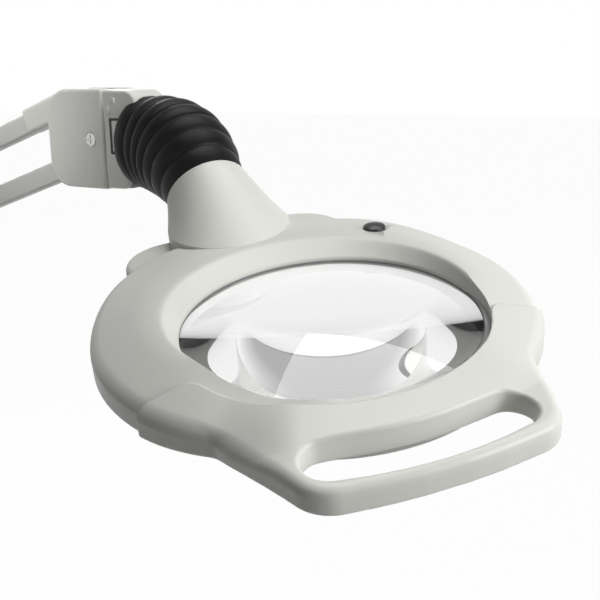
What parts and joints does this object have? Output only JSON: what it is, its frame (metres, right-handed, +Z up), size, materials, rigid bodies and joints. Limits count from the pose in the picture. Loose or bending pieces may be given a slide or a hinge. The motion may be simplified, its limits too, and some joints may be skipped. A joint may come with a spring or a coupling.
{
  "type": "magnifying lamp",
  "caption": "Clamp-on magnifying lamp: a round glass lens in an oval ring with a carrying handle, on a gaitered joint and a level two-bar arm.",
  "frame": {"origin": "on the clamp's face that lies on the table top, on the axis of the arm's spigot", "axes": "+Z up, +X along the arm from the clamp to the head"},
  "size_m": [0.7492, 0.2222, 0.3619],
  "materials": {
    "shell": "satin",
    "lens_glass": "polished",
    "bezel": "polished",
    "black_rubber": "satin",
    "button": "satin",
    "steel": "zinc plated",
    "painted_bar": "satin",
    "bush": "matte",
    "board": "satin",
    "white_board": "satin",
    "led": "gloss",
    "diffuser": "frosted",
    "switch": "matte"
  },
  "bodies": {
    "clamp": {"clamp_body": "painted_bar", "clamp_bush": "bush", "jaw_pad": "black_rubber"},
    "foot": {"clamp_foot": "painted_bar"},
    "screw": {"clamp_screw": "steel", "clamp_bar": "steel", "clamp_bar_ends": "black_rubber"},
    "base": {"spigot": "steel", "spigot_washer": "bush", "base_frame": "steel", "base_cover_right": "shell", "base_cover_left": "shell", "base_screws": "steel", "base_pivot_pins": "steel", "power_inlet": "black_rubber"},
    "upper_arm": {"top_bar": "painted_bar", "top_bar_bushes": "bush", "top_bar_sleeve": "shell", "arm_spring": "steel", "spring_pin": "steel"},
    "lower_arm": {"bottom_bar": "painted_bar", "bottom_bar_bushes": "bush"},
    "bracket": {"bracket_frame": "steel", "bracket_cover_right": "shell", "bracket_cover_left": "shell", "bracket_screws": "steel", "head_pivot_pins": "steel", "swivel_pin": "steel"},
    "knuckle": {"knuckle": "steel", "tilt_bolt": "steel", "tilt_nut": "steel", "tilt_washers": "steel", "gaiter": "black_rubber"},
    "stem": {"stem": "steel", "stem_clip": "steel"},
    "head": {"top_housing": "shell", "bottom_housing": "shell", "front_cover": "shell", "neck_cover": "shell", "lens": "lens_glass", "lens_gasket": "black_rubber", "lens_bezel": "bezel", "led_board": "white_board", "leds": "led", "diffuser": "diffuser", "tactile_switch": "switch", "switch_board": "board", "driver_board": "board", "housing_screws": "steel", "cover_screws": "steel", "neck_socket": "steel"},
    "button": {"power_button": "button"}
  },
  "joints": [
    {"name": "foot_feed", "type": "slide", "parent": "clamp", "child": "foot", "axis": [0, 0, 1], "range_m": [-0.0181, 0.0181]},
    {"name": "screw_turn", "type": "hinge", "parent": "foot", "child": "screw", "pos_m": [0.008, 0, -0.098], "axis": [0, 0, 1], "range_deg": [-1620, 1620]},
    {"name": "base_turn", "type": "hinge", "parent": "clamp", "child": "base", "pos_m": [0, 0, 0.05], "axis": [0, 0, 1], "continuous": true},
    {"name": "arm_lift", "type": "hinge", "parent": "base", "child": "upper_arm", "pos_m": [0, 0, 0.12225], "axis": [0, -1, 0], "range_deg": [-18, 38]},
    {"name": "lower_arm_lift", "type": "hinge", "parent": "base", "child": "lower_arm", "pos_m": [0, 0, 0.08575], "axis": [0, -1, 0], "range_deg": [-18, 38]},
    {"name": "bracket_level", "type": "hinge", "parent": "upper_arm", "child": "bracket", "pos_m": [0.37933, 0, 0.24917], "axis": [0, -1, 0], "range_deg": [-38, 18]},
    {"name": "head_swivel", "type": "hinge", "parent": "bracket", "child": "knuckle", "pos_m": [0.45133, 0, 0.22292], "axis": [0, 0, 1], "range_deg": [-20, 74], "deforming": ["gaiter"]},
    {"name": "head_tilt", "type": "hinge", "parent": "knuckle", "child": "stem", "pos_m": [0.46915, -0.00908, 0.22292], "axis": [0.454, 0.891, 0], "range_deg": [-45, 35], "deforming": ["gaiter"]},
    {"name": "head_twist", "type": "hinge", "parent": "stem", "child": "head", "pos_m": [0.46915, -0.00908, 0.22292], "axis": [-0.6924, 0.3528, 0.6293], "range_deg": [-35, 55]},
    {"name": "button_press", "type": "slide", "parent": "head", "child": "button", "axis": [-0.0637, 0.2013, -0.9775], "range_m": [0, 0.0012], "stiffness_N_per_m": 800}
  ],
  "couplings": [
    {"joint": "foot_feed", "follows": "screw_turn", "m_per_rad": 0.00063662},
    {"joint": "lower_arm_lift", "follows": "arm_lift", "ratio": 1},
    {"joint": "bracket_level", "follows": "arm_lift", "ratio": -1}
  ]
}
